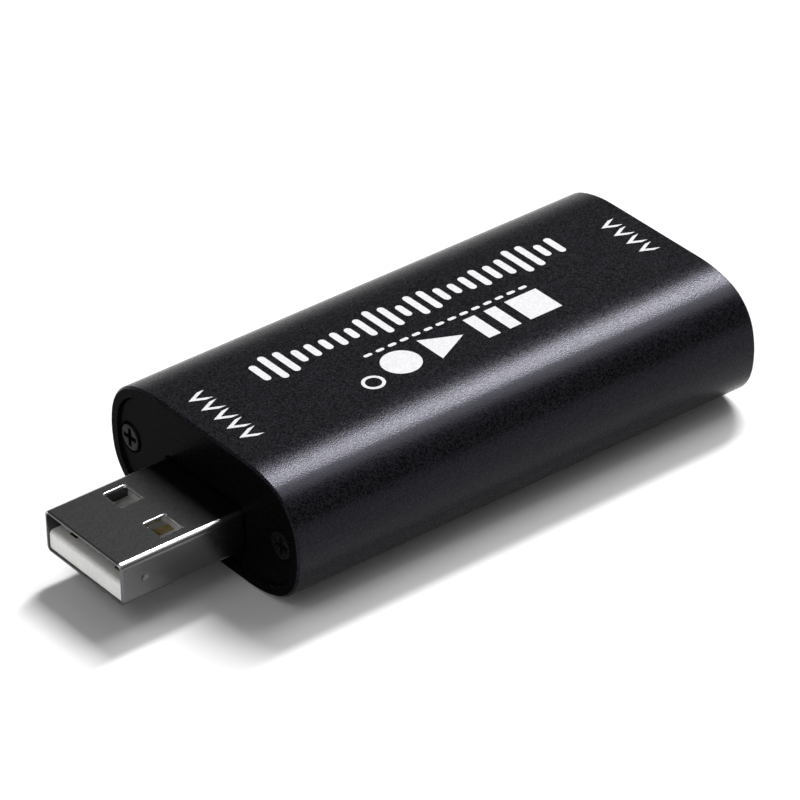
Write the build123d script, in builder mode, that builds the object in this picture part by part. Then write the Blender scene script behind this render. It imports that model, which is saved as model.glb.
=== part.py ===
from build123d import *
from math import cos, radians, sin, tan
import os

os.makedirs("parts", exist_ok=True)

# Video capture box, in millimetres.
# The origin lies under the middle of the whole box, on the flat face that it rests on.
# The output plug points along -X, the input socket opens along +X, and +Z is up.

# General
cut_overrun = 0.5  # how far a cut runs past what it cuts
slide_fit = 0.05  # gap on each side of flat pieces that slide into each other
lead_knee_share = 0.3  # where a chip's lead bends down, as a share of its way out
lead_heel_share = 0.5  # where it bends flat again for its foot

# Sleeve: an extruded tube, flat above and below, with bulged sides
sleeve_length = 54.5
sleeve_width = 29.0
sleeve_height = 13.5
sleeve_flat_width = 13.0
sleeve_brow_angle = 19.4  # how far the brow turns, from the flat to the shoulder
sleeve_shoulder_radius = 5.3
sleeve_side_angle = 12.1  # how far the side turns, from the shoulder to its middle
sleeve_wall = 1.1
sleeve_end_bevel = 0.22
boss_wall = 0.75  # metal round each screw channel
channel_mouth = 0.9  # slit that opens each screw channel towards the middle
rail_height = 0.8
rail_grip = 0.4  # how far the rails reach over the board's edge

# End plates
plate_thickness = 1.2
plate_recess = 0.3
plate_bevel = 0.12
plate_fit = 0.08
plug_cutout_gap = 0.2
socket_cutout_gap = 0.12

# Plate screws
screw_inset = 2.9  # from the sleeve's side to the screw's middle
screw_head_diameter = 3.2
screw_crown_height = 0.14
screw_crown_inset = 0.4
screw_cone_angle = 90.0
screw_shank_diameter = 1.9
screw_length = 6.0
screw_fit = 0.05
recess_span = 1.9
recess_slot = 0.42
recess_depth = 0.75
recess_taper_angle = 8.0

# Output plug shell: type A plug, folded from sheet
plug_width = 12.0
plug_height = 4.5
plug_reach = 13.4  # from the sleeve's end to the plug's tip
plug_drop = 1.455  # from the sleeve's middle down to the plug's middle
plug_on_board = 3.6  # how far the shell reaches over the board
plug_sheet = 0.3
plug_bend_radius = 0.6
plug_mouth_bevel = 0.12
window_setback = 5.6
window_length = 2.3
window_width = 2.7
window_offset = 3.1  # from the plug's middle to each window's middle
window_corner = 0.25
dimple_setback = 2.5
dimple_diameter = 0.8
dimple_depth = 0.13
seam_gap = 0.12
seam_lock_setback = 7.4
seam_lock_length = 3.2
seam_lock_reach = 1.3
seam_lock_flare = 0.5
plug_tab_length = 1.4
plug_tab_setback = 1.0  # from the shell's rear end
tab_overlap = 0.6  # how far a tab runs up the side wall that it belongs to

# Output plug insulator and contacts
plug_inner_fit = 0.05
plug_tongue_setback = 0.2
plug_tongue_thickness = 1.9
plug_tongue_nose = 0.45
plug_bay_depth = 9.0
plug_contact_width = 1.0
plug_contact_thickness = 0.25
plug_contact_proud = 0.05
power_contact_y = 3.5
data_contact_y = 1.0
power_contact_setback = 1.3
data_contact_setback = 2.3
plug_tail_reach = 0.6
plug_foot_length = 1.0
contact_fit = 0.03

# Input socket shell: 19-contact video socket, folded from sheet
socket_mouth_width = 14.0
socket_mouth_height = 4.55
socket_corner_width = 1.9
socket_corner_height = 1.8
socket_corner_radius = 0.4
socket_sheet = 0.3
socket_depth = 11.0
socket_mouth_bevel = 0.12
finger_setback = 1.8
finger_length = 4.6
finger_width = 1.6
finger_gap = 0.25
finger_press = 0.35
finger_lift = 0.2
finger_bend = 0.5
upper_finger_y = 3.5
lower_finger_y = 2.6
socket_leg_width = 1.2
front_leg_setback = 4.2
rear_leg_setback = 9.6

# Input socket insulator and contacts
socket_inner_fit = 0.05
socket_block_setback = 7.4
socket_tongue_setback = 1.3
socket_tongue_width = 10.6
socket_tongue_thickness = 1.5
socket_tongue_nose = 0.3
socket_contact_pitch = 1.0
socket_contact_width = 0.3
socket_contact_thickness = 0.18
socket_contact_proud = 0.04
socket_contact_setback = 2.1
upper_contact_count = 10
lower_contact_count = 9
upper_tail_reach = 1.0
lower_tail_reach = 0.45
socket_foot_reach = 1.8

# Circuit board
board_thickness = 1.2
board_inset = 4.3  # from the sleeve's side to the board's edge
board_end_gap = 0.3
board_corner_radius = 0.6
leg_below_board = 0.4
leg_slot_gap = 0.15
part_gap = 0.5  # least gap between neighbours on the board

# Capture chip: square, with lands under its four edges
capture_size = 7.0
capture_height = 0.75
capture_edge = 0.08
capture_pad_size = 4.6
land_count = 12  # along each edge
land_pitch = 0.5
land_width = 0.25
land_length = 0.45
land_thickness = 0.1
land_out = 0.05  # how far a land shows past the chip's edge
pin_mark_diameter = 0.7
pin_mark_depth = 0.06
pin_mark_inset = 1.0

# Memory chip: two rows of four bent leads
memory_length = 4.9
memory_width = 3.9
memory_height = 1.45
memory_standoff = 0.12
memory_edge = 0.25
memory_lead_count = 4
memory_lead_pitch = 1.27
memory_lead_width = 0.42
memory_lead_thickness = 0.2
memory_span = 6.0

# Voltage regulators: three leads on one side, two on the other
regulator_length = 2.9
regulator_width = 1.6
regulator_height = 1.1
regulator_standoff = 0.08
regulator_edge = 0.12
regulator_pitch = 0.95
regulator_lead_width = 0.4
regulator_lead_thickness = 0.15
regulator_span = 2.8

# Power inductor: a square ferrite block on two terminals
inductor_size = 3.0
inductor_height = 1.5
inductor_corner = 0.5
inductor_terminal_width = 0.9
inductor_terminal_thickness = 0.12

# Clock crystal: a ceramic tray under a metal lid
crystal_length = 3.2
crystal_width = 2.5
crystal_base_height = 0.5
crystal_lid_height = 0.3
crystal_lid_inset = 0.15
crystal_corner = 0.3
crystal_lid_edge = 0.1

# Surge arrays
surge_length = 2.5
surge_width = 1.0
surge_height = 0.5
surge_land_count = 4
surge_land_pitch = 0.5
surge_land_width = 0.22
surge_land_length = 0.3

# Ceramic capacitors
capacitor_length = 1.6
capacitor_width = 0.8
capacitor_height = 0.8
capacitor_terminal = 0.35

# Resistors
resistor_length = 1.0
resistor_width = 0.5
resistor_height = 0.35
resistor_terminal = 0.22

# Places that follow from the sizes
middle_z = sleeve_height / 2
input_end_x = (sleeve_length + plug_reach) / 2
output_end_x = input_end_x - sleeve_length
inner_width = sleeve_width - 2 * sleeve_wall
output_face_x = output_end_x + plate_recess
input_face_x = input_end_x - plate_recess
seat_depth = plate_recess + plate_thickness
screw_y = sleeve_width / 2 - screw_inset
screw_places = [(screw_y, 0), (-screw_y, 0)]

plug_tip_x = output_end_x - plug_reach
plug_length = plug_reach + seat_depth + board_end_gap + plug_on_board
plug_rear_x = plug_tip_x + plug_length
plug_z = middle_z - plug_drop
plug_tab_x = plug_rear_x - plug_tab_setback - plug_tab_length / 2

board_top_z = plug_z - plug_height / 2
board_bottom_z = board_top_z - board_thickness
board_start_x = output_end_x + seat_depth + board_end_gap
board_end_x = input_end_x - seat_depth - board_end_gap
board_length = board_end_x - board_start_x
board_width = sleeve_width - 2 * board_inset
leg_bottom_z = board_bottom_z - leg_below_board

socket_z = board_top_z + socket_sheet + socket_mouth_height / 2
socket_mouth_x = input_face_x
socket_rear_x = socket_mouth_x - socket_depth

bay_start_x = plug_rear_x + plug_tail_reach + plug_foot_length
bay_end_x = socket_rear_x - socket_foot_reach
bay_half_width = board_width / 2 - rail_grip

# Places on the board: the power parts by the plug, the chip in the middle, the rest by the socket
capture_x = (bay_start_x + bay_end_x) / 2
capture_beside_x = capture_size / 2 + part_gap + capacitor_width / 2
capture_row_y = capture_size / 2 + part_gap + capacitor_length / 2
crystal_y = -(capture_size / 2 + part_gap + crystal_width / 2)
crystal_beside_x = crystal_length / 2 + part_gap + resistor_width / 2

regulator_x = bay_start_x + part_gap + regulator_length / 2
regulator_y = bay_half_width - part_gap - regulator_span / 2
inductor_x = regulator_x + (regulator_length + inductor_size) / 2 + part_gap
inductor_beside_y = inductor_size / 2 + part_gap + capacitor_length / 2
regulator_beside_y = regulator_y - regulator_span / 2 - part_gap - capacitor_length / 2

surge_x = bay_end_x - part_gap - surge_width / 2
surge_y = (surge_length + part_gap) / 2
memory_x = surge_x - (surge_width + memory_length) / 2 - part_gap
memory_y = bay_half_width - part_gap - memory_span / 2
resistor_rows_y = memory_y - memory_span / 2 - 1.5 * part_gap - resistor_length


def facing(direction, x, z):
    """A plane square to the box's length, which faces +X for a direction of 1 and -X for -1."""
    return Plane(origin=(x, 0, z), x_dir=(0, direction, 0), z_dir=(direction, 0, 0))


def across(x, z):
    """A drawing plane over the box's width and height, whose origin is at x and z."""
    return facing(1, x, z)


def along(y, z):
    """A drawing plane over the box's length and height, whose origin is at y and z."""
    return Plane(origin=(0, y, z), x_dir=(1, 0, 0), z_dir=(0, -1, 0))


def sleeve_face(inset):
    """The sleeve's outline, drawn in all round by inset: each quarter is a flat and three tangent arcs.

    The brow's and the side's radii are those that bring the arcs from the flat to the sleeve's side.
    """
    brow_turn = radians(sleeve_brow_angle)
    side_turn = radians(sleeve_side_angle)
    shoulder_angle = 90 - sleeve_brow_angle - sleeve_side_angle
    shoulder_run = sleeve_shoulder_radius * (cos(side_turn) - sin(brow_turn))
    shoulder_drop = sleeve_shoulder_radius * (cos(brow_turn) - sin(side_turn))
    run = (sleeve_width - sleeve_flat_width) / 2 - shoulder_run
    drop = sleeve_height / 2 - shoulder_drop
    mix = sin(brow_turn) * sin(side_turn) - (1 - cos(brow_turn)) * (1 - cos(side_turn))
    brow_radius = (run * sin(side_turn) - drop * (1 - cos(side_turn))) / mix
    side_radius = (drop * sin(brow_turn) - run * (1 - cos(brow_turn))) / mix
    with BuildSketch() as outline:
        with BuildLine():
            flat = Line((0, sleeve_height / 2), (sleeve_flat_width / 2, sleeve_height / 2))
            brow = JernArc(flat @ 1, flat % 1, brow_radius, -sleeve_brow_angle)
            shoulder = JernArc(brow @ 1, brow % 1, sleeve_shoulder_radius, -shoulder_angle)
            JernArc(shoulder @ 1, shoulder % 1, side_radius, -sleeve_side_angle)
            mirror(about=Plane.XZ)
            mirror(about=Plane.YZ)
        make_face()
        if inset:
            offset(amount=-inset, mode=Mode.REPLACE)
    return outline.sketch


def rounded_face(width, height, radius, middle=(0, 0)):
    """A rectangle with rounded corners."""
    with BuildSketch() as outline:
        with Locations(middle):
            RectangleRounded(width, height, radius)
    return outline.sketch


def socket_face(grow):
    """The socket's mouth: full upper corners and cut lower corners, grown all round by a gap or a wall."""
    half_width = socket_mouth_width / 2
    half_height = socket_mouth_height / 2
    half_floor = half_width - socket_corner_width
    corner_top = socket_corner_height - half_height
    with BuildSketch() as outline:
        with BuildLine():
            Polyline(
                (half_floor, -half_height),
                (half_width, corner_top),
                (half_width, half_height),
                (-half_width, half_height),
                (-half_width, corner_top),
                (-half_floor, -half_height),
                close=True,
            )
        make_face()
        fillet(outline.vertices(), radius=socket_corner_radius)
        if grow:
            offset(amount=grow, mode=Mode.REPLACE)
    return outline.sketch


def bent_strip(plane, points, thickness, width, bend_radius=0):
    """A flat metal strip that follows points drawn on a plane, with a bend at each inner point."""
    with BuildPart() as strip:
        with BuildSketch(plane):
            with BuildLine():
                FilletPolyline(*points, radius=bend_radius)
            trace(line_width=thickness)
        extrude(amount=width / 2, both=True)
    return strip.part


# Housing sleeve: the extrusion, with its screw channels and board rails cut back to seat the plates
with BuildPart() as housing_sleeve:
    with BuildSketch(across(output_end_x, middle_z)):
        add(sleeve_face(0))
        add(sleeve_face(sleeve_wall), mode=Mode.SUBTRACT)
    extrude(amount=sleeve_length)
    rim_edges = [face.outer_wire().edges() for face in faces().filter_by(Axis.X)]
    chamfer(rim_edges, length=sleeve_end_bevel)

    rail_span = inner_width / 2 - board_width / 2 + rail_grip
    rail_y = (inner_width - rail_span) / 2
    upper_rail_z = board_top_z + slide_fit + rail_height / 2 - middle_z
    lower_rail_z = board_bottom_z - slide_fit - rail_height / 2 - middle_z
    mouth_y = screw_y - screw_shank_diameter / 2 - boss_wall
    with BuildSketch(across(output_end_x + seat_depth, middle_z)):
        with Locations(screw_places):
            Circle(screw_shank_diameter / 2 + screw_fit + boss_wall)
        for rail_z in (upper_rail_z, lower_rail_z):
            with Locations((rail_y, rail_z), (-rail_y, rail_z)):
                Rectangle(rail_span, rail_height)
        add(sleeve_face(sleeve_wall / 2), mode=Mode.INTERSECT)
        with Locations(screw_places):
            Circle(screw_shank_diameter / 2 + screw_fit, mode=Mode.SUBTRACT)
        with Locations((mouth_y, 0), (-mouth_y, 0)):
            Rectangle(2 * boss_wall, channel_mouth, mode=Mode.SUBTRACT)
    extrude(amount=sleeve_length - 2 * seat_depth)
housing_sleeve.part.label = "housing_sleeve"
export_step(housing_sleeve.part, "parts/housing_sleeve.step")


def end_plate(outer_plane, cutout):
    """A plate that fills the sleeve's end, with a connector's cut-out and two countersunk holes."""
    outward = Axis(outer_plane.origin, outer_plane.z_dir)
    with BuildPart() as plate:
        with BuildSketch(outer_plane):
            add(sleeve_face(sleeve_wall + plate_fit))
        extrude(amount=-plate_thickness)
        chamfer(faces().sort_by(outward)[-1].edges(), length=plate_bevel)
        with BuildSketch(outer_plane):
            add(cutout)
        extrude(amount=-plate_thickness, mode=Mode.SUBTRACT)
        with Locations(outer_plane):
            with Locations(screw_places):
                CounterSinkHole(
                    radius=screw_shank_diameter / 2 + 2 * screw_fit,
                    counter_sink_radius=screw_head_diameter / 2 + screw_fit,
                    counter_sink_angle=screw_cone_angle,
                )
    return plate.part


# Output end plate: its cut-out clears the plug's shell
with BuildPart() as output_end_plate:
    add(
        end_plate(
            facing(-1, output_face_x, middle_z),
            rounded_face(
                plug_width + 2 * plug_cutout_gap,
                plug_height + 2 * plug_cutout_gap,
                plug_bend_radius + plug_cutout_gap,
                middle=(0, plug_z - middle_z),
            ),
        )
    )
output_end_plate.part.label = "output_end_plate"
export_step(output_end_plate.part, "parts/output_end_plate.step")

# Input end plate: its cut-out follows the socket's shell
with BuildPart() as input_end_plate:
    add(
        end_plate(
            facing(1, input_face_x, middle_z),
            Location((0, socket_z - middle_z)) * socket_face(socket_sheet + socket_cutout_gap),
        )
    )
input_end_plate.part.label = "input_end_plate"
export_step(input_end_plate.part, "parts/input_end_plate.step")


def plate_screw():
    """A countersunk screw with a low crown and a cross recess, its head's rim at z = 0."""
    head_radius = screw_head_diameter / 2
    shank_radius = screw_shank_diameter / 2
    cone_height = (head_radius - shank_radius) / tan(radians(screw_cone_angle / 2))
    with BuildPart() as screw:
        with BuildSketch(Plane.XZ):
            with BuildLine():
                Polyline(
                    (0, screw_crown_height),
                    (head_radius - screw_crown_inset, screw_crown_height),
                    (head_radius, 0),
                    (shank_radius, -cone_height),
                    (shank_radius, -screw_length),
                    (0, -screw_length),
                    close=True,
                )
            make_face()
        revolve(axis=Axis.Z)
        with BuildSketch(Plane.XY.offset(screw_crown_height)):
            Rectangle(recess_span, recess_slot)
            Rectangle(recess_slot, recess_span)
        extrude(amount=-recess_depth, taper=recess_taper_angle, mode=Mode.SUBTRACT)
    return screw.part


# Plate screws: two at each end, driven into the sleeve's screw channels
with BuildPart() as output_plate_screws:
    with Locations(facing(-1, output_face_x, middle_z)):
        with Locations(screw_places):
            add(plate_screw())
output_plate_screws.part.label = "output_plate_screws"
export_step(output_plate_screws.part, "parts/output_plate_screws.step")

with BuildPart() as input_plate_screws:
    with Locations(facing(1, input_face_x, middle_z)):
        with Locations(screw_places):
            add(plate_screw())
input_plate_screws.part.label = "input_plate_screws"
export_step(input_plate_screws.part, "parts/input_plate_screws.step")


# Output plug shell: a folded tube with windows, coined dimples, a locked seam and two board tabs
with BuildPart() as output_plug_shell:
    with BuildSketch(across(plug_tip_x, plug_z)):
        add(rounded_face(plug_width, plug_height, plug_bend_radius))
        add(
            rounded_face(
                plug_width - 2 * plug_sheet,
                plug_height - 2 * plug_sheet,
                plug_bend_radius - plug_sheet,
            ),
            mode=Mode.SUBTRACT,
        )
    extrude(amount=plug_length)
    mouth_face = faces().filter_by(Axis.X).sort_by(Axis.X)[0]
    chamfer(mouth_face.outer_wire().edges(), length=plug_mouth_bevel)

    with BuildSketch(Plane.XY.offset(plug_z)):
        with Locations((plug_tip_x + window_setback + window_length / 2, 0)):
            with GridLocations(window_length, 2 * window_offset, 1, 2):
                RectangleRounded(window_length, window_width, window_corner)
    extrude(amount=plug_height, both=True, mode=Mode.SUBTRACT)

    dimple_radius = (dimple_diameter**2 / 4 + dimple_depth**2) / (2 * dimple_depth)
    dimple_y = plug_width / 2 + dimple_radius - dimple_depth
    with Locations(
        (plug_tip_x + dimple_setback, dimple_y, plug_z),
        (plug_tip_x + dimple_setback, -dimple_y, plug_z),
    ):
        Sphere(dimple_radius, mode=Mode.SUBTRACT)

    seam_start_x = plug_tip_x + seam_lock_setback
    seam_end_x = seam_start_x + seam_lock_length
    with BuildSketch(Plane.XY.offset(board_top_z)):
        with BuildLine():
            Polyline(
                (plug_tip_x - cut_overrun, 0),
                (seam_start_x, 0),
                (seam_start_x - seam_lock_flare, seam_lock_reach),
                (seam_end_x + seam_lock_flare, seam_lock_reach),
                (seam_end_x, 0),
                (plug_rear_x + cut_overrun, 0),
            )
        trace(line_width=seam_gap)
    extrude(amount=plug_bend_radius, both=True, mode=Mode.SUBTRACT)

    tab_top_z = plug_z - plug_height / 2 + plug_bend_radius + tab_overlap
    with BuildSketch(Plane.XY.offset(leg_bottom_z)):
        with Locations((plug_tab_x, 0)):
            with GridLocations(plug_tab_length, plug_width - plug_sheet, 1, 2):
                Rectangle(plug_tab_length, plug_sheet)
    extrude(amount=tab_top_z - leg_bottom_z)
output_plug_shell.part.label = "output_plug_shell"
export_step(output_plug_shell.part, "parts/output_plug_shell.step")


# Output plug insulator: the white tongue in the mouth, and the block that closes the shell behind it
plug_inside_width = plug_width - 2 * (plug_sheet + plug_inner_fit)
plug_inside_height = plug_height - 2 * (plug_sheet + plug_inner_fit)
plug_tongue_x = plug_tip_x + plug_tongue_setback
plug_tongue_top_z = plug_z - plug_inside_height / 2 + plug_tongue_thickness
plug_strip_z = plug_tongue_top_z + plug_contact_proud - plug_contact_thickness / 2
plug_contact_places = [
    (-power_contact_y, power_contact_setback),
    (-data_contact_y, data_contact_setback),
    (data_contact_y, data_contact_setback),
    (power_contact_y, power_contact_setback),
]
with BuildPart() as output_plug_insulator:
    with BuildSketch(across(plug_tongue_x, plug_z)):
        add(
            rounded_face(
                plug_inside_width,
                plug_inside_height,
                plug_bend_radius - plug_sheet - plug_inner_fit,
            )
        )
    extrude(amount=plug_length - plug_tongue_setback - plug_inner_fit)
    bay_height = plug_inside_height - plug_tongue_thickness
    with BuildSketch(across(plug_tongue_x, plug_tongue_top_z)):
        with Locations((0, (bay_height + cut_overrun) / 2)):
            Rectangle(plug_inside_width + 2 * cut_overrun, bay_height + cut_overrun)
    extrude(amount=plug_bay_depth - plug_tongue_setback, mode=Mode.SUBTRACT)
    nose_edges = faces().filter_by(Axis.X).sort_by(Axis.X)[0].edges().sort_by(Axis.Z)
    fillet(nose_edges[-1], radius=plug_tongue_nose)
    for contact_y, contact_setback in plug_contact_places:
        with BuildSketch(across(plug_tip_x + contact_setback - contact_fit, plug_strip_z)):
            with Locations((contact_y, 0)):
                Rectangle(
                    plug_contact_width + 2 * contact_fit,
                    plug_contact_thickness + 2 * contact_fit,
                )
        extrude(amount=plug_length, mode=Mode.SUBTRACT)
output_plug_insulator.part.label = "output_plug_insulator"
export_step(output_plug_insulator.part, "parts/output_plug_insulator.step")

# Output plug contacts: flat on the tongue, then down behind the block to feet on the board
plug_foot_z = board_top_z + plug_contact_thickness / 2
with BuildPart() as output_plug_contacts:
    for contact_y, contact_setback in plug_contact_places:
        add(
            bent_strip(
                along(contact_y, 0),
                [
                    (plug_tip_x + contact_setback, plug_strip_z),
                    (plug_rear_x + plug_tail_reach, plug_strip_z),
                    (plug_rear_x + plug_tail_reach, plug_foot_z),
                    (plug_rear_x + plug_tail_reach + plug_foot_length, plug_foot_z),
                ],
                plug_contact_thickness,
                plug_contact_width,
            )
        )
output_plug_contacts.part.label = "output_plug_contacts"
export_step(output_plug_contacts.part, "parts/output_plug_contacts.step")


def finger_window(middle_y, sheet_z):
    """The slot that frees a spring finger in the socket's sheet."""
    window_length = finger_length + finger_gap
    with BuildPart() as window:
        with BuildSketch(Plane.XY.offset(sheet_z)):
            with Locations((socket_mouth_x - finger_setback - window_length / 2, middle_y)):
                Rectangle(window_length, finger_width + 2 * finger_gap)
        extrude(amount=socket_sheet, both=True)
    return window.part


def spring_finger(middle_y, sheet_z, inward):
    """A finger that leaves the sheet near the mouth, presses inward and lifts again at its tip."""
    root_x = socket_mouth_x - finger_setback
    tip_x = root_x - finger_length
    press_x = tip_x + finger_width
    return bent_strip(
        along(middle_y, sheet_z),
        [
            (root_x + socket_sheet, 0),
            (root_x - socket_sheet, 0),
            (press_x, inward * finger_press),
            (tip_x, inward * (finger_press - finger_lift)),
        ],
        socket_sheet,
        finger_width,
        finger_bend,
    )


# Input socket shell: a folded tube with two spring fingers above, two below, and four board legs
upper_sheet_z = socket_z + (socket_mouth_height + socket_sheet) / 2
lower_sheet_z = socket_z - (socket_mouth_height + socket_sheet) / 2
socket_fingers = [
    (upper_finger_y, upper_sheet_z, -1),
    (-upper_finger_y, upper_sheet_z, -1),
    (lower_finger_y, lower_sheet_z, 1),
    (-lower_finger_y, lower_sheet_z, 1),
]
with BuildPart() as input_socket_shell:
    with BuildSketch(across(socket_rear_x, socket_z)):
        add(socket_face(socket_sheet))
        add(socket_face(0), mode=Mode.SUBTRACT)
    extrude(amount=socket_depth)
    mouth_face = faces().filter_by(Axis.X).sort_by(Axis.X)[-1]
    chamfer(mouth_face.inner_wires()[0].edges(), length=socket_mouth_bevel)
    for finger_y, sheet_z, inward in socket_fingers:
        add(finger_window(finger_y, sheet_z), mode=Mode.SUBTRACT)
        add(spring_finger(finger_y, sheet_z, inward))
    with BuildSketch(Plane.XY.offset(leg_bottom_z)):
        for leg_setback in (front_leg_setback, rear_leg_setback):
            with Locations((socket_mouth_x - leg_setback, 0)):
                with GridLocations(socket_leg_width, socket_mouth_width + socket_sheet, 1, 2):
                    Rectangle(socket_leg_width, socket_sheet)
    extrude(amount=socket_z - leg_bottom_z)
input_socket_shell.part.label = "input_socket_shell"
export_step(input_socket_shell.part, "parts/input_socket_shell.step")


# Input socket insulator: a block that fills the shell's rear and carries the tongue
upper_strip_z = socket_z + socket_tongue_thickness / 2 + socket_contact_proud - socket_contact_thickness / 2
lower_strip_z = 2 * socket_z - upper_strip_z
socket_strip_x = socket_mouth_x - socket_contact_setback
with BuildPart() as input_socket_insulator:
    with BuildSketch(across(socket_rear_x, socket_z)):
        add(socket_face(-socket_inner_fit))
    extrude(amount=socket_depth - socket_block_setback)
    with BuildSketch(across(socket_rear_x, socket_z)):
        Rectangle(socket_tongue_width, socket_tongue_thickness)
    extrude(amount=socket_depth - socket_tongue_setback)
    nose_face = faces().filter_by(Axis.X).sort_by(Axis.X)[-1]
    chamfer(nose_face.edges(), length=socket_tongue_nose)
    for strip_z, count in ((upper_strip_z, upper_contact_count), (lower_strip_z, lower_contact_count)):
        with BuildSketch(across(socket_strip_x + contact_fit, strip_z)):
            with GridLocations(socket_contact_pitch, 0, count, 1):
                Rectangle(
                    socket_contact_width + 2 * contact_fit,
                    socket_contact_thickness + 2 * contact_fit,
                )
        extrude(amount=-socket_depth, mode=Mode.SUBTRACT)
input_socket_insulator.part.label = "input_socket_insulator"
export_step(input_socket_insulator.part, "parts/input_socket_insulator.step")


def socket_contacts(strip_z, count, tail_reach):
    """One row of contacts: along the tongue, through the block and down to feet on the board."""
    tail_x = socket_rear_x - tail_reach
    foot_z = board_top_z + socket_contact_thickness / 2
    with BuildPart() as row:
        for place in GridLocations(0, socket_contact_pitch, 1, count):
            add(
                bent_strip(
                    along(place.position.Y, 0),
                    [
                        (socket_strip_x, strip_z),
                        (tail_x, strip_z),
                        (tail_x, foot_z),
                        (socket_rear_x - socket_foot_reach, foot_z),
                    ],
                    socket_contact_thickness,
                    socket_contact_width,
                )
            )
    return row.part


# Input socket contacts: ten above the tongue and nine below, half a pitch apart
with BuildPart() as input_socket_upper_contacts:
    add(socket_contacts(upper_strip_z, upper_contact_count, upper_tail_reach))
input_socket_upper_contacts.part.label = "input_socket_upper_contacts"
export_step(input_socket_upper_contacts.part, "parts/input_socket_upper_contacts.step")

with BuildPart() as input_socket_lower_contacts:
    add(socket_contacts(lower_strip_z, lower_contact_count, lower_tail_reach))
input_socket_lower_contacts.part.label = "input_socket_lower_contacts"
export_step(input_socket_lower_contacts.part, "parts/input_socket_lower_contacts.step")


# Circuit board: slides into the rails, with slots for the plug's tabs and the socket's legs
with BuildPart() as circuit_board:
    with BuildSketch(Plane.XY.offset(board_bottom_z)):
        with Locations(((board_start_x + board_end_x) / 2, 0)):
            RectangleRounded(board_length, board_width, board_corner_radius)
    extrude(amount=board_thickness)
    with BuildSketch(Plane.XY.offset(board_bottom_z)):
        with Locations((plug_tab_x, 0)):
            with GridLocations(plug_tab_length, plug_width - plug_sheet, 1, 2):
                Rectangle(plug_tab_length + 2 * leg_slot_gap, plug_sheet + 2 * leg_slot_gap)
        for leg_setback in (front_leg_setback, rear_leg_setback):
            with Locations((socket_mouth_x - leg_setback, 0)):
                with GridLocations(socket_leg_width, socket_mouth_width + socket_sheet, 1, 2):
                    Rectangle(socket_leg_width + 2 * leg_slot_gap, socket_sheet + 2 * leg_slot_gap)
    extrude(amount=board_thickness, mode=Mode.SUBTRACT)
circuit_board.part.label = "circuit_board"
export_step(circuit_board.part, "parts/circuit_board.step")


def block(place, length, width, height, standoff=0, edge=0):
    """A chip's body over its place on the board, with its upper edges cut back."""
    with BuildPart() as body:
        with BuildSketch(Plane.XY.offset(board_top_z + standoff)):
            with Locations(place):
                Rectangle(length, width)
        extrude(amount=height)
        if edge:
            chamfer(faces().sort_by(Axis.Z)[-1].edges(), length=edge)
    return body.part


def bent_lead(place, side, body_width, shoulder_height, span, thickness, width):
    """A lead that leaves a chip's side, steps down and ends in a foot on the board."""
    x, y = place
    foot_z = thickness / 2
    body_y = y + side * body_width / 2
    tip_y = y + side * span / 2
    knee_y = body_y + lead_knee_share * (tip_y - body_y)
    heel_y = body_y + lead_heel_share * (tip_y - body_y)
    return bent_strip(
        across(x, board_top_z),
        [(body_y, shoulder_height), (knee_y, shoulder_height), (heel_y, foot_z), (tip_y, foot_z)],
        thickness,
        width,
    )


def end_blocks(place, length, width, height, terminal):
    """The two metal ends of a small part that lies across the board."""
    with BuildPart() as ends:
        with BuildSketch(Plane.XY.offset(board_top_z)):
            with Locations(place):
                with GridLocations(0, length - terminal, 1, 2):
                    Rectangle(width, terminal)
        extrude(amount=height)
    return ends.part


# Capture chip: a flat square body over its lands and its cooling pad
capture_roof_z = board_top_z + land_thickness + capture_height
with BuildPart() as capture_chip_body:
    add(
        block(
            (capture_x, 0),
            capture_size,
            capture_size,
            capture_height,
            standoff=land_thickness,
            edge=capture_edge,
        )
    )
    mark_offset = capture_size / 2 - pin_mark_inset
    with Locations((capture_x - mark_offset, mark_offset, capture_roof_z)):
        Hole(radius=pin_mark_diameter / 2, depth=pin_mark_depth)
capture_chip_body.part.label = "capture_chip_body"
export_step(capture_chip_body.part, "parts/capture_chip_body.step")

land_offset = capture_size / 2 + land_out - land_length / 2
with BuildPart() as capture_chip_lands:
    with BuildSketch(Plane.XY.offset(board_top_z)):
        with Locations((capture_x, 0)):
            Rectangle(capture_pad_size, capture_pad_size)
            with PolarLocations(land_offset, 4):
                with GridLocations(0, land_pitch, 1, land_count):
                    Rectangle(land_length, land_width)
    extrude(amount=land_thickness)
capture_chip_lands.part.label = "capture_chip_lands"
export_step(capture_chip_lands.part, "parts/capture_chip_lands.step")

# Memory chip: a thick body with four bent leads on each long side
with BuildPart() as memory_chip_body:
    add(
        block(
            (memory_x, memory_y),
            memory_length,
            memory_width,
            memory_height,
            standoff=memory_standoff,
            edge=memory_edge,
        )
    )
memory_chip_body.part.label = "memory_chip_body"
export_step(memory_chip_body.part, "parts/memory_chip_body.step")

with BuildPart() as memory_chip_leads:
    for side in (-1, 1):
        for lead in GridLocations(memory_lead_pitch, 0, memory_lead_count, 1):
            add(
                bent_lead(
                    (memory_x + lead.position.X, memory_y),
                    side,
                    memory_width,
                    memory_standoff + memory_height / 2,
                    memory_span,
                    memory_lead_thickness,
                    memory_lead_width,
                )
            )
memory_chip_leads.part.label = "memory_chip_leads"
export_step(memory_chip_leads.part, "parts/memory_chip_leads.step")

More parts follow.
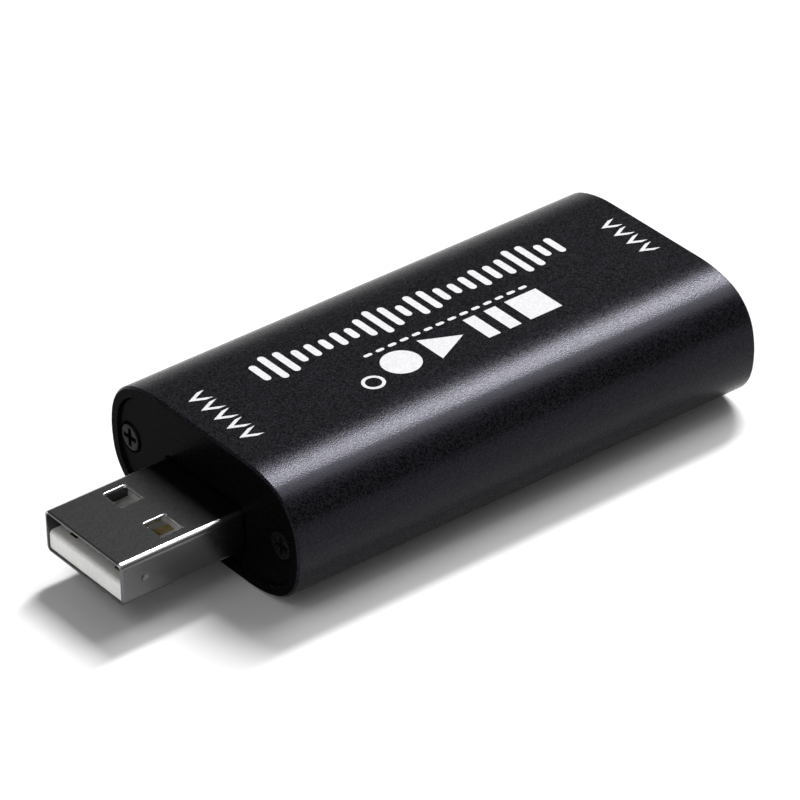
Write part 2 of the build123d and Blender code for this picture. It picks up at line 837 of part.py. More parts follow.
# Voltage regulators: small bodies with two leads on one side and three on the other
regulator_places = [(regulator_x, regulator_y), (regulator_x, -regulator_y)]
with BuildPart() as voltage_regulator_bodies:
    for place in regulator_places:
        add(
            block(
                place,
                regulator_length,
                regulator_width,
                regulator_height,
                standoff=regulator_standoff,
                edge=regulator_edge,
            )
        )
voltage_regulator_bodies.part.label = "voltage_regulator_bodies"
export_step(voltage_regulator_bodies.part, "parts/voltage_regulator_bodies.step")

regulator_leads = [(-1, -1), (-1, 0), (-1, 1), (1, -1), (1, 1)]  # side, and pitches from the middle
with BuildPart() as voltage_regulator_leads:
    for x, y in regulator_places:
        for side, step in regulator_leads:
            add(
                bent_lead(
                    (x + step * regulator_pitch, y),
                    side,
                    regulator_width,
                    regulator_standoff + regulator_height / 2,
                    regulator_span,
                    regulator_lead_thickness,
                    regulator_lead_width,
                )
            )
voltage_regulator_leads.part.label = "voltage_regulator_leads"
export_step(voltage_regulator_leads.part, "parts/voltage_regulator_leads.step")

# Power inductor: a ferrite block with cut corners, over two terminals
with BuildPart() as power_inductor_core:
    with BuildSketch(Plane.XY.offset(board_top_z + inductor_terminal_thickness)):
        with Locations((inductor_x, 0)):
            Rectangle(inductor_size, inductor_size)
        chamfer(vertices(), length=inductor_corner)
    extrude(amount=inductor_height)
power_inductor_core.part.label = "power_inductor_core"
export_step(power_inductor_core.part, "parts/power_inductor_core.step")

with BuildPart() as power_inductor_terminals:
    with BuildSketch(Plane.XY.offset(board_top_z)):
        with Locations((inductor_x, 0)):
            with GridLocations(inductor_size - inductor_terminal_width, 0, 2, 1):
                Rectangle(inductor_terminal_width, inductor_size - 2 * inductor_corner)
    extrude(amount=inductor_terminal_thickness)
power_inductor_terminals.part.label = "power_inductor_terminals"
export_step(power_inductor_terminals.part, "parts/power_inductor_terminals.step")

# Clock crystal: a ceramic tray with rounded corners, closed by a metal lid
with BuildPart() as clock_crystal_base:
    with BuildSketch(Plane.XY.offset(board_top_z)):
        with Locations((capture_x, crystal_y)):
            RectangleRounded(crystal_length, crystal_width, crystal_corner)
    extrude(amount=crystal_base_height)
clock_crystal_base.part.label = "clock_crystal_base"
export_step(clock_crystal_base.part, "parts/clock_crystal_base.step")

with BuildPart() as clock_crystal_lid:
    with BuildSketch(Plane.XY.offset(board_top_z + crystal_base_height)):
        with Locations((capture_x, crystal_y)):
            RectangleRounded(
                crystal_length - 2 * crystal_lid_inset,
                crystal_width - 2 * crystal_lid_inset,
                crystal_corner,
            )
    extrude(amount=crystal_lid_height)
    chamfer(faces().sort_by(Axis.Z)[-1].edges(), length=crystal_lid_edge)
clock_crystal_lid.part.label = "clock_crystal_lid"
export_step(clock_crystal_lid.part, "parts/clock_crystal_lid.step")

# Surge arrays: two flat bodies by the socket, each over two rows of lands
surge_places = [(surge_x, surge_y), (surge_x, -surge_y)]
with BuildPart() as surge_array_bodies:
    for place in surge_places:
        add(block(place, surge_width, surge_length, surge_height, standoff=land_thickness))
surge_array_bodies.part.label = "surge_array_bodies"
export_step(surge_array_bodies.part, "parts/surge_array_bodies.step")

with BuildPart() as surge_array_lands:
    with BuildSketch(Plane.XY.offset(board_top_z)):
        with Locations(surge_places):
            with GridLocations(surge_width - surge_land_length, 0, 2, 1):
                with GridLocations(0, surge_land_pitch, 1, surge_land_count):
                    Rectangle(surge_land_length, surge_land_width)
    extrude(amount=land_thickness)
surge_array_lands.part.label = "surge_array_lands"
export_step(surge_array_lands.part, "parts/surge_array_lands.step")

# Ceramic capacitors: each body lies between its two metal ends
capacitor_places = [
    (regulator_x, regulator_beside_y),
    (regulator_x, -regulator_beside_y),
    (inductor_x, inductor_beside_y),
    (inductor_x, -inductor_beside_y),
]
for side in (-1, 1):
    for end in (-1, 1):
        capacitor_places.append(
            (capture_x + side * capture_beside_x, end * (capacitor_length + part_gap) / 2)
        )
for step in (-1, 0, 1):
    capacitor_places.append((capture_x + step * (capacitor_width + part_gap), capture_row_y))
with BuildPart() as ceramic_capacitor_bodies:
    for place in capacitor_places:
        add(block(place, capacitor_width, capacitor_length - 2 * capacitor_terminal, capacitor_height))
ceramic_capacitor_bodies.part.label = "ceramic_capacitor_bodies"
export_step(ceramic_capacitor_bodies.part, "parts/ceramic_capacitor_bodies.step")

with BuildPart() as ceramic_capacitor_ends:
    for place in capacitor_places:
        add(
            end_blocks(
                place, capacitor_length, capacitor_width, capacitor_height, capacitor_terminal
            )
        )
ceramic_capacitor_ends.part.label = "ceramic_capacitor_ends"
export_step(ceramic_capacitor_ends.part, "parts/ceramic_capacitor_ends.step")

# Resistors: thin bodies between their metal ends, two by the crystal and two rows by the memory chip
resistor_places = [
    (capture_x - crystal_beside_x, crystal_y),
    (capture_x + crystal_beside_x, crystal_y),
]
for spot in GridLocations(resistor_width + part_gap, resistor_length + part_gap, 4, 2):
    resistor_places.append((memory_x + spot.position.X, resistor_rows_y + spot.position.Y))
with BuildPart() as resistor_bodies:
    for place in resistor_places:
        add(block(place, resistor_width, resistor_length - 2 * resistor_terminal, resistor_height))
resistor_bodies.part.label = "resistor_bodies"
export_step(resistor_bodies.part, "parts/resistor_bodies.step")

with BuildPart() as resistor_ends:
    for place in resistor_places:
        add(
            end_blocks(
                place, resistor_length, resistor_width, resistor_height, resistor_terminal
            )
        )
resistor_ends.part.label = "resistor_ends"
export_step(resistor_ends.part, "parts/resistor_ends.step")
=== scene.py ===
import bmesh
import bpy
import numpy as np
from math import cos, pi, radians, sin
from mathutils import Matrix, Vector


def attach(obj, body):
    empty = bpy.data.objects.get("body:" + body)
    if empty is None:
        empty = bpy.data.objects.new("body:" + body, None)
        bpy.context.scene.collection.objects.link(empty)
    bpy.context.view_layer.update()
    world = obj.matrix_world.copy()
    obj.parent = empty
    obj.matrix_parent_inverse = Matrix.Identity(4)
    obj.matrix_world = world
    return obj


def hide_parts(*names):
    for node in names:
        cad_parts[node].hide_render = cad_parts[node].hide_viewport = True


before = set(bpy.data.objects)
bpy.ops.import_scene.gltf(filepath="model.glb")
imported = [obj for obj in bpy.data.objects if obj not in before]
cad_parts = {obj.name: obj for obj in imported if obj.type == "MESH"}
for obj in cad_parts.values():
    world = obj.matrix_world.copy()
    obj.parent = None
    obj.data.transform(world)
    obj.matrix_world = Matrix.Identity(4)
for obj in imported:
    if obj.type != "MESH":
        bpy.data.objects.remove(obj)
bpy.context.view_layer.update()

# The camera, at the photograph's viewing angle: from the plug's end and the right, a third of the
# way up, with a long lens. The aim is a point inside the sleeve that shows a little left of and
# below the picture's middle.
MM = 0.001
turn, tilt, lean = radians(52.7), radians(32.99), radians(-1.47)
aim = Vector((-0.55, 0, 6.75)) * MM
distance = 497 * MM
picture_pixels, focal_pixels, pixels_per_metre = 800, 5325, 10715
aim_left, aim_low = 25 / pixels_per_metre, 14.6 / pixels_per_metre
forward = Vector((cos(turn) * cos(tilt), sin(turn) * cos(tilt), -sin(tilt)))
level = forward.cross(Vector((0, 0, 1))).normalized()
upright = level.cross(forward)
right = level * cos(lean) + upright * sin(lean)
up = upright * cos(lean) - level * sin(lean)
eye = aim - forward * distance + right * aim_left + up * aim_low
camera = bpy.data.objects.new("camera", bpy.data.cameras.new("camera"))
camera.data.sensor_width = 36
camera.data.lens = focal_pixels * camera.data.sensor_width / picture_pixels
camera.data.clip_start = 0.01
camera.matrix_world = Matrix((right, up, -forward)).transposed().to_4x4()
camera.location = eye
bpy.context.scene.collection.objects.link(camera)
bpy.context.scene.camera = camera
bpy.context.scene.view_settings.view_transform = "Standard"

# The lamps are soft studio light, 2.5 m away. The key softbox hangs behind and above, where the
# sleeve's near shoulder mirrors it as a bright band. The shoulder softbox beside it gives the band
# its soft flank, and a long strip draws the band's tail. Two weak ones light the plug's end.
lamp_reach = 2.5


def softbox(name, towards, width, height, power):
    """A rectangular lamp that faces the object from a direction, its width in metres along Y."""
    lamp = bpy.data.lights.new(name, "AREA")
    lamp.shape = "RECTANGLE"
    lamp.size, lamp.size_y = width, height
    lamp.energy = power
    holder = bpy.data.objects.new(name, lamp)
    direction = Vector(towards).normalized()
    across = (Vector((0, 1, 0)) - direction * direction.y).normalized()
    along = direction.cross(across).normalized()
    holder.rotation_euler = Matrix((across, along, direction)).transposed().to_euler()
    holder.location = aim + direction * lamp_reach
    bpy.context.scene.collection.objects.link(holder)


softbox("key_softbox", (0.508, 0.285, 0.812), width=0.3, height=1.1, power=71)
softbox("shoulder_softbox", (0.508, -0.02, 0.86), width=1.1, height=1.1, power=22)
softbox("strip_softbox", (0.508, -0.15, 0.8), width=2.0, height=0.2, power=4)
softbox("fill_softbox", (-1.0, -0.5, 0.5), width=1.6, height=1.2, power=4)
softbox("front_top_softbox", (-0.6, -0.1, 0.9), width=1.8, height=1.2, power=9)

# The floor is a plain, matt, white square, a metre wide.
floor_half = 0.5
floor_corners = [(-1, -1), (1, -1), (1, 1), (-1, 1)]
floor_mesh = bpy.data.meshes.new("floor")
floor_mesh.from_pydata(
    [(x * floor_half, y * floor_half, 0) for x, y in floor_corners], [], [(0, 1, 2, 3)]
)
floor = bpy.data.objects.new("floor", floor_mesh)
bpy.context.scene.collection.objects.link(floor)
floor_paint = bpy.data.materials.new("white_floor")
floor_paint.use_nodes = True
floor_shader = floor_paint.node_tree.nodes["Principled BSDF"]
floor_shader.inputs["Base Color"].default_value = (0.785, 0.785, 0.785, 1)
floor_shader.inputs["Roughness"].default_value = 1.0
floor_shader.inputs["Specular IOR Level"].default_value = 0.0
floor_mesh.materials.append(floor_paint)

# The studio's walls are white up to a low height and its ceiling is dim, so the world fades from
# one to the other with the height of the direction.
wall_top, ceiling_foot = 0.07, 0.17
wall_strength, ceiling_strength = 1.0, 0.18
world = bpy.data.worlds.new("studio")
world.use_nodes = True
bpy.context.scene.world = world
world_nodes, world_links = world.node_tree.nodes, world.node_tree.links
outlook = world_nodes.new("ShaderNodeTexCoord")
elevation = world_nodes.new("ShaderNodeSeparateXYZ")
fade = world_nodes.new("ShaderNodeMapRange")
fade.interpolation_type = "SMOOTHSTEP"
fade.inputs["From Min"].default_value = wall_top
fade.inputs["From Max"].default_value = ceiling_foot
fade.inputs["To Min"].default_value = wall_strength
fade.inputs["To Max"].default_value = ceiling_strength
world_links.new(outlook.outputs["Generated"], elevation.inputs["Vector"])
world_links.new(elevation.outputs["Z"], fade.inputs["Value"])
world_links.new(fade.outputs["Result"], world_nodes["Background"].inputs["Strength"])
world_nodes["Background"].inputs["Color"].default_value = (1, 1, 1, 1)


# The housing sleeve is extruded aluminium, bead-blasted and then anodised black. The blasting
# leaves a fine grain of tiny pits whose rims glint, and the dye in the oxide makes the metal a
# dark, slightly cool grey. Its sawn ends are milled smooth, so they stay a satin black.
def build_grain_group():
    """Round pits of random depth, under a faint cloud, that change tone, roughness and relief.

    Each pit's depth is a random number from 0 to 1, to which a share of a much broader cloud is
    added. The sum sets the place between the two tones and between the two roughnesses. The
    relief is the distance from the middle of the pit.
    """
    cloud_share, cloud_cells = 0.1, 0.04
    group = bpy.data.node_groups.new("surface_grain", "ShaderNodeTree")
    for name, kind in (("Place", "NodeSocketVector"), ("Cells", "NodeSocketFloat"),
                       ("Dark", "NodeSocketColor"), ("Light", "NodeSocketColor"),
                       ("Smooth", "NodeSocketFloat"), ("Rough", "NodeSocketFloat")):
        group.interface.new_socket(name, in_out="INPUT", socket_type=kind)
    for name, kind in (("Colour", "NodeSocketColor"), ("Roughness", "NodeSocketFloat"),
                       ("Height", "NodeSocketFloat")):
        group.interface.new_socket(name, in_out="OUTPUT", socket_type=kind)
    nodes, links = group.nodes, group.links
    given, result = nodes.new("NodeGroupInput"), nodes.new("NodeGroupOutput")

    pits = nodes.new("ShaderNodeTexVoronoi")
    depth = nodes.new("ShaderNodeSeparateColor")
    links.new(given.outputs["Place"], pits.inputs["Vector"])
    links.new(given.outputs["Cells"], pits.inputs["Scale"])
    links.new(pits.outputs["Color"], depth.inputs["Color"])

    broad_cells = nodes.new("ShaderNodeMath")
    broad_cells.operation = "MULTIPLY"
    broad_cells.inputs[1].default_value = cloud_cells
    cloud = nodes.new("ShaderNodeTexNoise")
    cloud.inputs["Detail"].default_value = 3.0
    links.new(given.outputs["Cells"], broad_cells.inputs[0])
    links.new(given.outputs["Place"], cloud.inputs["Vector"])
    links.new(broad_cells.outputs[0], cloud.inputs["Scale"])

    mixed = nodes.new("ShaderNodeMath")
    mixed.operation = "MULTIPLY_ADD"
    mixed.inputs[1].default_value = cloud_share
    spread = nodes.new("ShaderNodeMapRange")
    spread.inputs["From Min"].default_value = cloud_share / 2
    spread.inputs["From Max"].default_value = cloud_share / 2 + 1
    links.new(cloud.outputs["Fac"], mixed.inputs[0])
    links.new(depth.outputs["Red"], mixed.inputs[2])
    links.new(mixed.outputs[0], spread.inputs["Value"])

    # In a colour mix, inputs 6 and 7 are its two colours and output 2 is the mixed one.
    tone = nodes.new("ShaderNodeMix")
    tone.data_type = "RGBA"
    links.new(spread.outputs["Result"], tone.inputs["Factor"])
    links.new(given.outputs["Dark"], tone.inputs[6])
    links.new(given.outputs["Light"], tone.inputs[7])
    gloss = nodes.new("ShaderNodeMix")
    links.new(spread.outputs["Result"], gloss.inputs["Factor"])
    links.new(given.outputs["Smooth"], gloss.inputs["A"])
    links.new(given.outputs["Rough"], gloss.inputs["B"])

    links.new(tone.outputs[2], result.inputs["Colour"])
    links.new(gloss.outputs["Result"], result.inputs["Roughness"])
    links.new(pits.outputs["Distance"], result.inputs["Height"])
    return group


grain_group = build_grain_group()
pit_depth = 0.3


def grained(name, dark, light, smooth, rough, cells, bump, metallic=0.0, specular=0.5):
    """A material whose tone, roughness and relief follow the grain, with its cells per metre.

    A pit is as deep as a share of its cell's width, weakened by the strength of the bump.
    """
    material = bpy.data.materials.new(name)
    material.use_nodes = True
    nodes, links = material.node_tree.nodes, material.node_tree.links
    shader = nodes["Principled BSDF"]
    shader.inputs["Metallic"].default_value = metallic
    shader.inputs["Specular IOR Level"].default_value = specular
    place = nodes.new("ShaderNodeTexCoord")
    grain = nodes.new("ShaderNodeGroup")
    grain.node_tree = grain_group
    grain.inputs["Cells"].default_value = cells
    grain.inputs["Dark"].default_value = (*dark, 1)
    grain.inputs["Light"].default_value = (*light, 1)
    grain.inputs["Smooth"].default_value = smooth
    grain.inputs["Rough"].default_value = rough
    relief = nodes.new("ShaderNodeBump")
    relief.inputs["Strength"].default_value = bump
    relief.inputs["Distance"].default_value = pit_depth / cells
    links.new(place.outputs["Object"], grain.inputs["Place"])
    links.new(grain.outputs["Colour"], shader.inputs["Base Color"])
    links.new(grain.outputs["Roughness"], shader.inputs["Roughness"])
    links.new(grain.outputs["Height"], relief.inputs["Height"])
    links.new(relief.outputs["Normal"], shader.inputs["Normal"])
    return material


def rounded(node, material, radius, corner=35, worn=None, ends=None):
    """Stands a copy of a CAD node in its place, merged into whole faces, with rounded edges.

    Every edge sharper than corner, in degrees, is rounded to a third of the radius, in millimetres.
    Where worn is given, it tells from the middles of the edges, in millimetres, which of them get
    the whole radius. Where ends is given, it is the finish of the faces that look along X.
    """
    same_place, same_plane, along_x = 1e-7, radians(0.5), 0.9
    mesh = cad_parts[node].data.copy()
    form = bmesh.new()
    form.from_mesh(mesh)
    bmesh.ops.remove_doubles(form, verts=form.verts, dist=same_place)
    bmesh.ops.dissolve_limit(form, angle_limit=same_plane, verts=form.verts, edges=form.edges)
    form.edges.ensure_lookup_table()
    sharp = np.array([
        edge.is_manifold and edge.calc_face_angle() > radians(corner) for edge in form.edges
    ])
    middles = np.array([(edge.verts[0].co + edge.verts[1].co) / 2 for edge in form.edges]) / MM
    form.to_mesh(mesh)
    form.free()
    share = sharp / 3 if worn is None else np.where(sharp & worn(middles), 1.0, sharp / 3)
    mesh.attributes.new("bevel_weight_edge", "FLOAT", "EDGE").data.foreach_set("value", share)
    if "custom_normal" in mesh.attributes:
        mesh.attributes.remove(mesh.attributes["custom_normal"])
    mesh.shade_smooth()
    mesh.set_sharp_from_angle(angle=radians(corner))
    mesh.materials.clear()
    mesh.materials.append(material)
    if ends is not None:
        mesh.materials.append(ends)
        normals = np.empty(3 * len(mesh.polygons))
        mesh.polygons.foreach_get("normal", normals)
        at_end = np.abs(normals[::3]) > along_x
        mesh.polygons.foreach_set("material_index", at_end.astype(int))
    piece = bpy.data.objects.new(node + "_rounded", mesh)
    bpy.context.scene.collection.objects.link(piece)
    edges = piece.modifiers.new("rounded_edges", "BEVEL")
    edges.width = radius * MM
    edges.segments = 3
    edges.limit_method = "WEIGHT"
    edges.use_clamp_overlap = False
    shading = piece.modifiers.new("flat_faces", "WEIGHTED_NORMAL")
    shading.weight = 100
    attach(piece, "root")
    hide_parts(node)


anodised = grained("black_anodised_aluminium", dark=(0.0, 0.0, 0.0), light=(0.011, 0.0105, 0.013),
                   smooth=0.19, rough=0.29, cells=7400, bump=0.24, specular=0.126)
anodised_shader = anodised.node_tree.nodes["Principled BSDF"]
anodised_shader.inputs["Specular Tint"].default_value = (0.8, 0.79, 1, 1)
satin_black = grained("satin_black", dark=(0.001, 0.001, 0.001), light=(0.003, 0.003, 0.0035),
                      smooth=0.25, rough=0.4, cells=6000, bump=0.08, specular=0.008)
rounded("housing_sleeve", anodised, radius=0.15, ends=satin_black)

# The marks on the sleeve's upper face are screen-printed in white ink, a few thousandths of a
# millimetre thick: chevrons that show which way the signal flows, level bars, a dashed rule and
# five signs. The ink's foot lies a hundredth of a millimetre inside the sleeve.
ink_foot, ink_roof = 13.49, 13.504


def slab(outline):
    """A closed slab of ink: an outline given as x, y points, carried straight up to the roof."""
    count = len(outline)
    ring = np.arange(count)
    after = np.roll(ring, -1)
    points = np.concatenate([
        np.column_stack([outline, np.full(count, ink_foot)]),
        np.column_stack([outline, np.full(count, ink_roof)]),
    ])
    walls = np.column_stack([ring, after, after + count, ring + count])
    return points, [ring[::-1], ring + count, *walls]


def bar(x, y, length, width, steps=6):
    """A bar along Y with round ends: a half circle of the bar's width, set off from the middle.

    The other end is the same half circle, mirrored through the middle.
    """
    angle = np.linspace(0, pi, steps)
    radius = width / 2
    reach = max(length / 2 - radius, 0)
    top = np.column_stack([radius * np.cos(angle), reach + radius * np.sin(angle)])
    return np.concatenate([top, -top]) + (x, y)


def turned(outline, about, angle):
    """An outline turned about a point: its offsets from the point, times the turn's matrix."""
    spin = np.array([[cos(angle), sin(angle)], [-sin(angle), cos(angle)]])
    return (outline - about) @ spin + about


def chevron(x, y, span, depth, stroke):
    """A chevron that points along -X: a V of two strokes, span wide and depth long."""
    tip, back, half = x - depth / 2, x + depth / 2, span / 2
    return np.array([
        (back - stroke, y + half), (back, y + half), (tip + stroke, y),
        (back, y - half), (back - stroke, y - half), (tip, y),
    ])


def rectangle(x, y, width, height):
    """A rectangle, placed by its left edge and by its middle line along X."""
    low, high = y - height / 2, y + height / 2
    return np.array([(x, low), (x + width, low), (x + width, high), (x, high)])


def disc(x, y, diameter, steps=40):
    """A full circle: half the diameter, times the cosine and the sine of the angle."""
    angle = np.linspace(0, 2 * pi, steps, endpoint=False)
    return np.column_stack([x + diameter / 2 * np.cos(angle), y + diameter / 2 * np.sin(angle)])


def flat_ring(x, y, outer, inner, steps=40):
    """A flat ring of ink: four circles, outside low and high, then inside high and low, joined."""
    wide, narrow = disc(x, y, outer, steps), disc(x, y, inner, steps)
    loops = [(wide, ink_foot), (wide, ink_roof), (narrow, ink_roof), (narrow, ink_foot)]
    points = np.concatenate([
        np.column_stack([circle, np.full(steps, height)]) for circle, height in loops
    ])
    around, loop = np.meshgrid(np.arange(steps), np.arange(4))
    after, following = (around + 1) % steps, (loop + 1) % 4
    quads = np.stack([
        loop * steps + around, loop * steps + after,
        following * steps + after, following * steps + around,
    ], axis=-1)
    return points, list(quads.reshape(-1, 4))


def build_marks():
    """Every printed mark as one mesh, in millimetres on the sleeve's upper face.

    Each row of marks starts at a point and steps on by its pitch. A level bar is as long as the
    shortest one, plus a swing times the size of the product of two waves of different length.
    """
    output_x, output_y, output_pitch = -17.4, -3.4, 1.95
    input_x, input_y, input_pitch = 31.0, -2.0, 1.85
    bars_x, bars_y, bars_pitch, shortest, swing = -10.6, 4.1, 1.53, 1.9, 2.9
    rule_x, rule_y, rule_pitch = -1.1, 0.1, 1.42
    signs_y, size = -2.8, 4.0
    outlines = [
        chevron(output_x, output_y + output_pitch * step, span=1.5, depth=2.3, stroke=0.8)
        for step in range(5)
    ]
    outlines += [
        chevron(input_x, input_y + input_pitch * step, span=1.4, depth=2.1, stroke=0.75)
        for step in range(4)
    ]
    for step in range(24):
        length = shortest + swing * abs(sin(step * 0.83 + 0.4) * cos(step * 0.31))
        outlines.append(bar(bars_x + bars_pitch * step, bars_y, length, width=0.78))
    for step in range(14):
        dash = (rule_x + rule_pitch * step, rule_y)
        outlines.append(turned(bar(*dash, length=0.95, width=0.42), dash, pi / 2))
    low, high = signs_y - size / 2, signs_y + size / 2
    outlines.append(disc(0.55, signs_y, diameter=size))
    outlines.append(np.array([(3.9, low), (7.9, signs_y), (3.9, high)]))
    outlines += [rectangle(x, signs_y, width=1.4, height=size) for x in (9.4, 11.9)]
    outlines.append(rectangle(14.4, signs_y, width=3.8, height=size))

    marks = [slab(outline) for outline in outlines]
    marks.append(flat_ring(-3.55, -3.9, outer=2.3, inner=1.6))
    points, faces, total = [], [], 0
    for mark_points, mark_faces in marks:
        points.append(mark_points)
        faces += [(face + total).tolist() for face in mark_faces]
        total += len(mark_points)
    mesh = bpy.data.meshes.new("printed_marks")
    mesh.from_pydata((np.concatenate(points) * MM).tolist(), [], faces)
    mesh.validate()
    return mesh


printed_marks = bpy.data.objects.new("printed_marks", build_marks())
bpy.context.scene.collection.objects.link(printed_marks)
white_ink = grained("white_ink", dark=(0.5, 0.5, 0.51), light=(0.64, 0.64, 0.65),
                    smooth=0.5, rough=0.7, cells=9000, bump=0.3, specular=0.3)
printed_marks.data.materials.append(white_ink)
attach(printed_marks, "root")

# The end plates are pressed from aluminium sheet and coated in the same satin black as the
# sleeve's ends. Each sits just inside the sleeve's rim, held by two screws, its edge bevelled.
rounded("output_end_plate", satin_black, radius=0.1)
rounded("input_end_plate", satin_black, radius=0.1)

# The plate screws are small countersunk machine screws in blackened steel, with a cross recess.
# The rims of their heads are rolled round.
black_steel = grained("blackened_steel", dark=(0.002, 0.002, 0.002), light=(0.006, 0.006, 0.0065),
                      smooth=0.2, rough=0.34, cells=7000, bump=0.3, specular=0.05)
screw_aside, screw_height, rim_from_axis = 11.6, 6.75, 1.5


def head_rims(middles):
    """The outer edges of the four screw heads: those far from the screws' axes."""
    aside, height = np.abs(middles[:, 1]) - screw_aside, middles[:, 2] - screw_height
    return np.hypot(aside, height) > rim_from_axis


for node in ("output_plate_screws", "input_plate_screws"):
    rounded(node, black_steel, radius=0.22, corner=15, worn=head_rims)

# The plug's and the socket's shells are folded from thin steel sheet and plated with bright nickel.
# A lighter colour is painted on the plug's upper folds and round its upper windows, a painted
# highlight that widens the bright lines there. The punch has rolled the window rims over.
window_x, window_aside = -27.2, 3.1
window_half_length, window_half_width, window_rim = 1.15, 1.35, 0.2
fold_start, fold_full = 5.42, 5.5
top_start, top_full = 7.2, 7.34


def nickel(name):
    """Bright nickel, slightly clouded."""
    return grained(name, dark=(0.118, 0.118, 0.122), light=(0.133, 0.133, 0.137),
                   smooth=0.22, rough=0.26, cells=9000, bump=0.05, metallic=1.0)


def paint_highlight(material, highlight_colour):
    """Paints a lighter colour, a painted highlight, on the plug's upper folds and round its
    windows.

    The mask is the step at the plug's top, times the greater of two others: the step at a fold, and
    the product of the steps round a window, along the plug and across it.
    """
    nodes, links = material.node_tree.nodes, material.node_tree.links

    def arithmetic(operation, first, second=0.0):
        """One operation on a socket and a second socket or number."""
        maths = nodes.new("ShaderNodeMath")
        maths.operation = operation
        links.new(first, maths.inputs[0])
        if isinstance(second, float):
            maths.inputs[1].default_value = second
        else:
            links.new(second, maths.inputs[1])
        return maths.outputs[0]

    def ramp(source, start, end, first=0.0, last=1.0):
        """A smooth change from the first value to the last, over a range in millimetres."""
        change = nodes.new("ShaderNodeMapRange")
        change.interpolation_type = "SMOOTHSTEP"
        change.inputs["From Min"].default_value = start * MM
        change.inputs["From Max"].default_value = end * MM
        change.inputs["To Min"].default_value = first
        change.inputs["To Max"].default_value = last
        links.new(source, change.inputs["Value"])
        return change.outputs["Result"]

    def within(source, middle, half):
        """1 over a window and the first half of its rim, and 0 from the rim's end outwards."""
        away = arithmetic("ABSOLUTE", arithmetic("SUBTRACT", source, middle * MM))
        return ramp(away, half + window_rim / 2, half + window_rim, first=1.0, last=0.0)

    place = nodes.new("ShaderNodeTexCoord")
    axes = nodes.new("ShaderNodeSeparateXYZ")
    links.new(place.outputs["Object"], axes.inputs["Vector"])
    aside = arithmetic("ABSOLUTE", axes.outputs["Y"])
    window = arithmetic("MULTIPLY", within(axes.outputs["X"], window_x, window_half_length),
                        within(aside, window_aside, window_half_width))
    fold = ramp(aside, fold_start, fold_full)
    top = ramp(axes.outputs["Z"], top_start, top_full)
    mask = arithmetic("MULTIPLY", top, arithmetic("MAXIMUM", fold, window))
    tone = nodes.new("ShaderNodeMix")
    tone.data_type = "RGBA"
    tone.inputs[7].default_value = (*highlight_colour, 1)
    base = nodes["Principled BSDF"].inputs["Base Color"]
    links.new(mask, tone.inputs["Factor"])
    links.new(base.links[0].from_socket, tone.inputs[6])
    links.new(tone.outputs[2], base)


def window_rims(middles):
    """The edges of the plug's two upper windows: those in its upper face, near them along X."""
    upper_face, rims_start, rims_end = 7.5, -28.6, -25.9
    along, height = middles[:, 0], middles[:, 2]
    return (height > upper_face) & (along > rims_start) & (along < rims_end)


bright_nickel = nickel("bright_nickel")
nickel_with_painted_highlight = nickel("nickel_with_painted_highlight")
# The lighter colour on the plug's upper folds and window rims is a painted highlight.
paint_highlight(nickel_with_painted_highlight, (0.45, 0.45, 0.46))
rounded("output_plug_shell", nickel_with_painted_highlight, radius=0.2, worn=window_rims)
rounded("input_socket_shell", bright_nickel, radius=0.15)


# The clock crystal's lid is a shallow cap drawn from steel sheet, in the same bright nickel as the
# shells. It is seam-welded to the rim of its ceramic tray.
def dress(node, material):
    """Gives a CAD node its finish."""
    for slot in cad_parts[node].material_slots:
        slot.material = material


dress("clock_crystal_lid", bright_nickel)

# The plug's tongue and the block behind it are one moulding of white heat-proof plastic, slightly
# matt. The shell is folded round the block, and the contacts lie in the moulding's grooves.
white_plastic = grained("white_plastic", dark=(0.78, 0.775, 0.755), light=(0.85, 0.845, 0.825),
                        smooth=0.4, rough=0.55, cells=4000, bump=0.1)
dress("output_plug_insulator", white_plastic)

# The socket's block and its tongue are one moulding of black plastic, which fits closely in the
# shell. Its grooves carry ten contacts above the tongue and nine below.
black_plastic = grained("black_plastic", dark=(0.008, 0.008, 0.008), light=(0.014, 0.014, 0.014),
                        smooth=0.35, rough=0.5, cells=4000, bump=0.15)
dress("input_socket_insulator", black_plastic)

# The contacts are strips stamped from copper alloy and plated with gold against wear. They are
# pushed into the grooves of the plastic, and their tails are soldered to the board.
gold_plate = grained("gold_plate", dark=(0.52, 0.4, 0.18), light=(0.64, 0.5, 0.24),
                     smooth=0.18, rough=0.28, cells=3000, bump=0.05, metallic=1.0)
for node in ("output_plug_contacts", "input_socket_upper_contacts", "input_socket_lower_contacts"):
    dress(node, gold_plate)

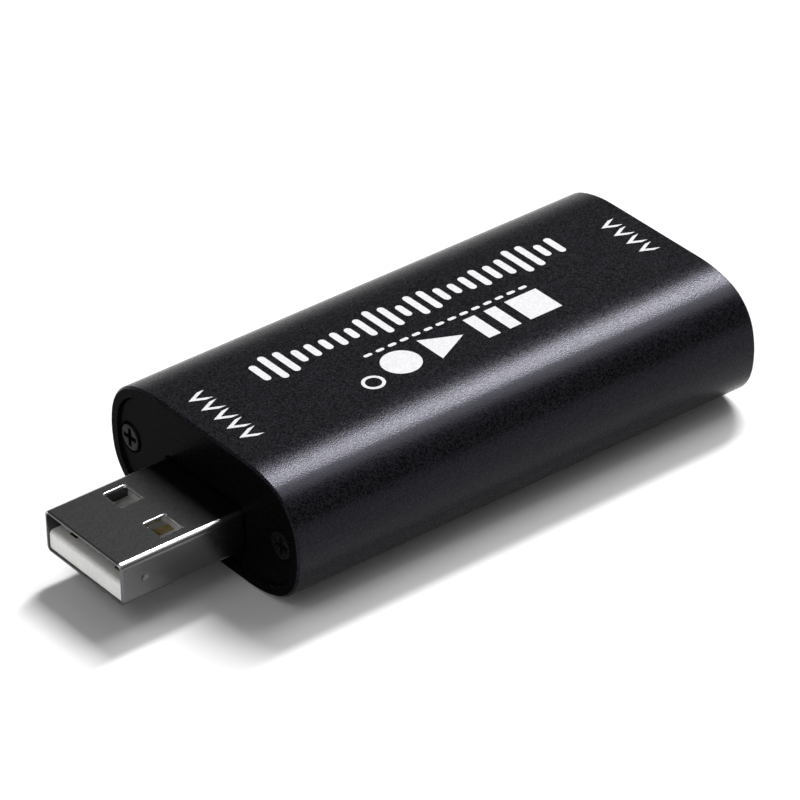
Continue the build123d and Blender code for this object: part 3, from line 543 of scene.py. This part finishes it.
# The circuit board is a sheet of glass-filled laminate, cut to its outline and coated with a green
# solder mask. Its long edges slide into rails inside the sleeve.
solder_mask = grained("solder_mask", dark=(0.004, 0.045, 0.02), light=(0.008, 0.075, 0.035),
                      smooth=0.2, rough=0.35, cells=1200, bump=0.3)
dress("circuit_board", solder_mask)

# The chips, regulators and surge arrays are moulded in black filled resin, and the resistors have
# a black glaze much like it. All are soldered to the board.
chip_resin = grained("chip_resin", dark=(0.012, 0.012, 0.013), light=(0.025, 0.025, 0.026),
                     smooth=0.45, rough=0.65, cells=8000, bump=0.3)
for node in ("capture_chip_body", "memory_chip_body", "voltage_regulator_bodies",
             "surge_array_bodies", "resistor_bodies"):
    dress(node, chip_resin)

# The leads, lands and terminals of the parts on the board are copper, tinned so that solder wets
# them. The leads are stamped and bent, and the ends of the small parts are dipped.
tinned_copper = grained("tinned_copper", dark=(0.5, 0.5, 0.48), light=(0.68, 0.68, 0.66),
                        smooth=0.25, rough=0.45, cells=6000, bump=0.25, metallic=1.0)
for node in ("capture_chip_lands", "memory_chip_leads", "voltage_regulator_leads",
             "power_inductor_terminals", "surge_array_lands", "ceramic_capacitor_ends",
             "resistor_ends"):
    dress(node, tinned_copper)

# The power inductor's core is ferrite powder, pressed to shape and sintered, with a coarse, matt
# skin. Its terminals hold it to the board.
ferrite = grained("ferrite", dark=(0.02, 0.02, 0.02), light=(0.05, 0.05, 0.048),
                  smooth=0.5, rough=0.75, cells=6000, bump=0.5)
dress("power_inductor_core", ferrite)

# The clock crystal's tray is pressed from grey ceramic and fired. It sits flat on the board, and
# its lid closes it from above.
grey_ceramic = grained("grey_ceramic", dark=(0.1, 0.1, 0.1), light=(0.14, 0.14, 0.14),
                       smooth=0.4, rough=0.55, cells=5000, bump=0.2)
dress("clock_crystal_base", grey_ceramic)

# The capacitors are stacks of thin layers of tan ceramic, fired into one block. Their tinned ends
# hold them to the board.
tan_ceramic = grained("tan_ceramic", dark=(0.26, 0.16, 0.09), light=(0.34, 0.22, 0.12),
                      smooth=0.3, rough=0.5, cells=5000, bump=0.2)
dress("ceramic_capacitor_bodies", tan_ceramic)
